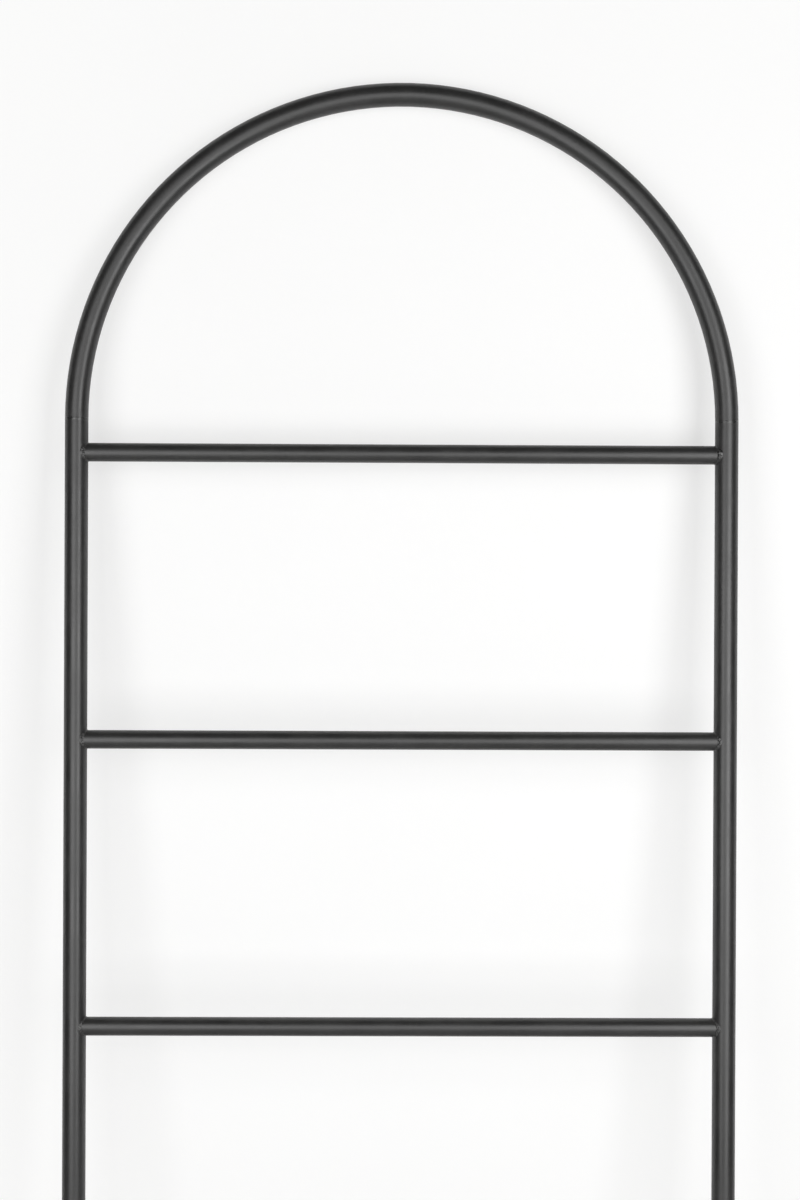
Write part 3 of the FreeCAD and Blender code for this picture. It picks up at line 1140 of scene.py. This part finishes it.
@dataclass(frozen=True)
class StudioPaint(Finish):
    """Matt pale paint or floor covering, over which the camera alone sees white.

    Its own colour wanders from tone to shade. The share of white is lift near the centre, and it grows to 1
    between fade_from and fade_to metres away. Near the ladder's feet the white is as dim as foot_glow, and it
    brightens over foot_span, where a metre of height counts climb times: this darker white near the floor is
    painted shade. A see-through sheet can't be seen from behind, and it fades out sideways over end_span.
    """

    tone: Colour
    shade: Colour
    lift: float
    fade_from: float
    fade_to: float
    centre: Place = (0.0, 0.0, 0.0)
    foot_glow: float = 1.0
    foot_span: Span = (0.7, 2.3)
    climb: float = 2.9
    see_through: bool = False
    end_span: Span = (0.5, 1.25)
    cloud_scale: float = 7.0
    cloud_detail: float = 5.0
    cloud_span: Span = (0.3, 0.7)
    nap_scale: float = 420.0
    nap_detail: float = 2.0
    nap_span: Span = (0.2, 0.8)
    smooth: float = 0.8
    rough: float = 0.95
    gleam: float = 0.1
    relief: float = 0.05 * MM

    def dress(self, wires: Wiring, shader: bpy.types.Node, place: Any) -> None:
        """Varies the paint a little and mixes in the white that only the camera sees.

        Args:
            wires: the material's tree.
            shader: its Principled BSDF.
            place: the object coordinates.
        """
        cloud = wires.noise(place, self.cloud_scale, self.cloud_detail)
        nap = wires.noise(place, self.nap_scale, self.nap_detail)
        colour = wires.mix(wires.ramp(cloud, *self.cloud_span), self.tone, self.shade)
        wires.feed(shader.inputs["Base Color"], colour)
        wires.feed(shader.inputs["Roughness"], wires.ramp(nap, *self.nap_span, self.smooth, self.rough))
        shader.inputs["Specular IOR Level"].default_value = self.gleam
        self.emboss(wires, shader, nap, self.relief)

        ray = wires.add("ShaderNodeLightPath").outputs["Is Camera Ray"]
        away = wires.vector("DISTANCE", place, self.centre)
        far = wires.ramp(away, self.fade_from, self.fade_to, self.lift, 1.0)
        whitened = wires.math("MULTIPLY", ray, far)
        seen = wires.mix_shader(whitened, shader.outputs[0], self._white(wires, place))
        if self.see_through:
            cleared = wires.math("MULTIPLY", ray, self._gone(wires, place))
            seen = wires.mix_shader(cleared, seen, wires.add("ShaderNodeBsdfTransparent").outputs[0])
        wires.feed(wires.tree.nodes["Material Output"].inputs["Surface"], seen)

    def _white(self, wires: Wiring, place: Any) -> bpy.types.NodeSocket:
        """Adds the white, dimmed towards the ladder's feet as painted shade.

        Args:
            wires: the material's tree.
            place: the object coordinates.

        Returns:
            The glowing shader's socket.
        """
        glow = wires.add("ShaderNodeEmission", {"Color": (*STUDIO_WHITE, 1.0), "Strength": 1.0})
        # Painted shade: the white is darker near the floor around the ladder's feet.
        if self.foot_glow < 1.0:
            reach = wires.vector("LENGTH", wires.vector("MULTIPLY", place, (1.0, 1.0, self.climb)))
            wires.feed(glow.inputs["Strength"], wires.ramp(reach, *self.foot_span, self.foot_glow, 1.0))
        return glow.outputs[0]

    def _gone(self, wires: Wiring, place: Any) -> bpy.types.NodeSocket:
        """Says how far the sheet has vanished: wholly from behind, and more and more towards its ends.

        Args:
            wires: the material's tree.
            place: the object coordinates.

        Returns:
            The share's socket.
        """
        back = wires.add("ShaderNodeNewGeometry").outputs["Backfacing"]
        aside = wires.math("ABSOLUTE", wires.along(place, "X"))
        return wires.math("MAXIMUM", back, wires.ramp(aside, *self.end_span))


FLOOR_PAINT = StudioPaint(
    "pale_floor",
    tone=(0.81, 0.81, 0.80),
    shade=(0.79, 0.79, 0.78),
    lift=0.6,
    fade_from=0.7,
    fade_to=2.3,
)
WALL_PAINT = StudioPaint(
    "wall_paint",
    tone=(0.865, 0.865, 0.865),
    shade=(0.855, 0.855, 0.855),
    lift=0.55,
    fade_from=0.3,
    fade_to=1.05,
    centre=(0.08, 0.05, 1.25),
    # Painted shade: near the floor below the ladder the wall's white dims to this strength.
    foot_glow=0.735,
    see_through=True,
)


@dataclass
class Studio:
    """Floor, leaning wall, lamps and the light of the room."""

    wall_lean: float = math.radians(5.8)
    touch_depth: float = 12.6 * MM
    touch_height: float = 1.79
    wall_half_width: float = 1.3
    wall_foot: float = -20.0 * MM
    wall_top: float = 2.9
    floor_half: float = 6.0
    banks: tuple[LampBank, LampBank] = (
        LampBank(Side.LEFT, x=-0.88, radiances=(1.15, 2.95, 2.2)),
        LampBank(Side.RIGHT, x=1.01, radiances=(2.8, 4.6, 2.5)),
    )
    fills: tuple[SoftBox, ...] = (
        SoftBox("front_fill", x=0.0, y=-2.4, z=1.25, width=1.2, height=1.4, radiance=1.55),
        SoftBox("low_fill", x=0.0, y=-2.4, z=0.3, width=1.2, height=0.5, radiance=0.95),
        SoftBox("back_fill", x=0.0, y=2.4, z=1.6, width=1.8, height=1.4, radiance=1.3),
    )
    room_light: float = 0.045

    def sheet(self, name: str, corners: Sequence[Place], finish: Finish) -> bpy.types.Object:
        """Makes one flat sheet of the stage.

        Args:
            name: the object's name.
            corners: its four corners, anticlockwise from the side that is seen.
            finish: its paint.

        Returns:
            The sheet.
        """
        mesh = bpy.data.meshes.new(name)
        mesh.from_pydata(corners, [], [(0, 1, 2, 3)])
        mesh.materials.append(finish.material())
        made = bpy.data.objects.new(name, mesh)
        bpy.context.scene.collection.objects.link(made)
        return made

    def wall_at(self, height: float) -> Span:
        """Gives the wall's y and z at a height."""
        return self.touch_depth + (self.touch_height - height) * math.tan(self.wall_lean), height

    def build(self) -> None:
        """Sets up the stage and its light."""
        far = self.floor_half
        floor = [(-far, -far, 0.0), (far, -far, 0.0), (far, far, 0.0), (-far, far, 0.0)]
        self.sheet("studio_floor", floor, FLOOR_PAINT)
        wide = self.wall_half_width
        foot, head = self.wall_at(self.wall_foot), self.wall_at(self.wall_top)
        corners = [(-wide, *foot), (wide, *foot), (wide, *head), (-wide, *head)]
        wall = self.sheet("studio_wall", corners, WALL_PAINT)
        wall.visible_shadow = wall.visible_diffuse = False
        for lamps in (*self.banks, *self.fills):
            lamps.build()
        self.light_room()

    def light_room(self) -> None:
        """Gives the room an even, weak light that the camera sees as white."""
        world = bpy.data.worlds.new("studio_room")
        world.use_nodes = True
        wires = Wiring(world.node_tree)
        ray = wires.add("ShaderNodeLightPath").outputs["Is Camera Ray"]
        sky = world.node_tree.nodes["Background"]
        sky.inputs["Color"].default_value = (*STUDIO_WHITE, 1.0)
        wires.feed(sky.inputs["Strength"], wires.ramp(ray, 0.0, 1.0, self.room_light, 1.0))
        bpy.context.scene.world = world
        bpy.context.scene.view_settings.view_transform = "Standard"


@dataclass(frozen=True)
class Viewpoint:
    """Where the picture is taken from: almost square on to the ladder, midway between its two upper rungs.

    The lens grows with the distance, so that the ladder keeps its size in the picture.
    """

    distance: float = 1.65
    across: float = -15.9 * MM
    height: float = 1.35974
    turn: float = math.radians(0.5087)
    tilt: float = math.radians(-0.1642)
    roll: float = math.radians(0.253)
    lens_per_metre: float = 34.8202
    sensor: float = 36.0

    def build(self) -> None:
        """Puts the camera up."""
        camera = bpy.data.cameras.new("viewpoint")
        camera.sensor_width = self.sensor
        camera.lens = self.lens_per_metre * self.distance
        stand = bpy.data.objects.new("viewpoint", camera)
        level = Matrix.Rotation(-self.turn, 4, "Z") @ Matrix.Rotation(math.pi / 2 + self.tilt, 4, "X")
        turned = level @ Matrix.Rotation(self.roll, 4, "Z")
        stand.matrix_world = Matrix.Translation((self.across, -self.distance, self.height)) @ turned
        bpy.context.scene.collection.objects.link(stand)
        bpy.context.scene.camera = stand


def main() -> None:
    """Builds the ladder's looks and the studio, in order."""
    logging.basicConfig(level=logging.INFO, format="%(name)s: %(message)s")
    Viewpoint().build()
    TubeFrame().build()
    nodes = BeadNodes()
    RungWelds().build(nodes)
    SeamWelds().build(nodes)
    SmallParts().build()
    Studio().build()


if __name__ == "__main__":
    main()
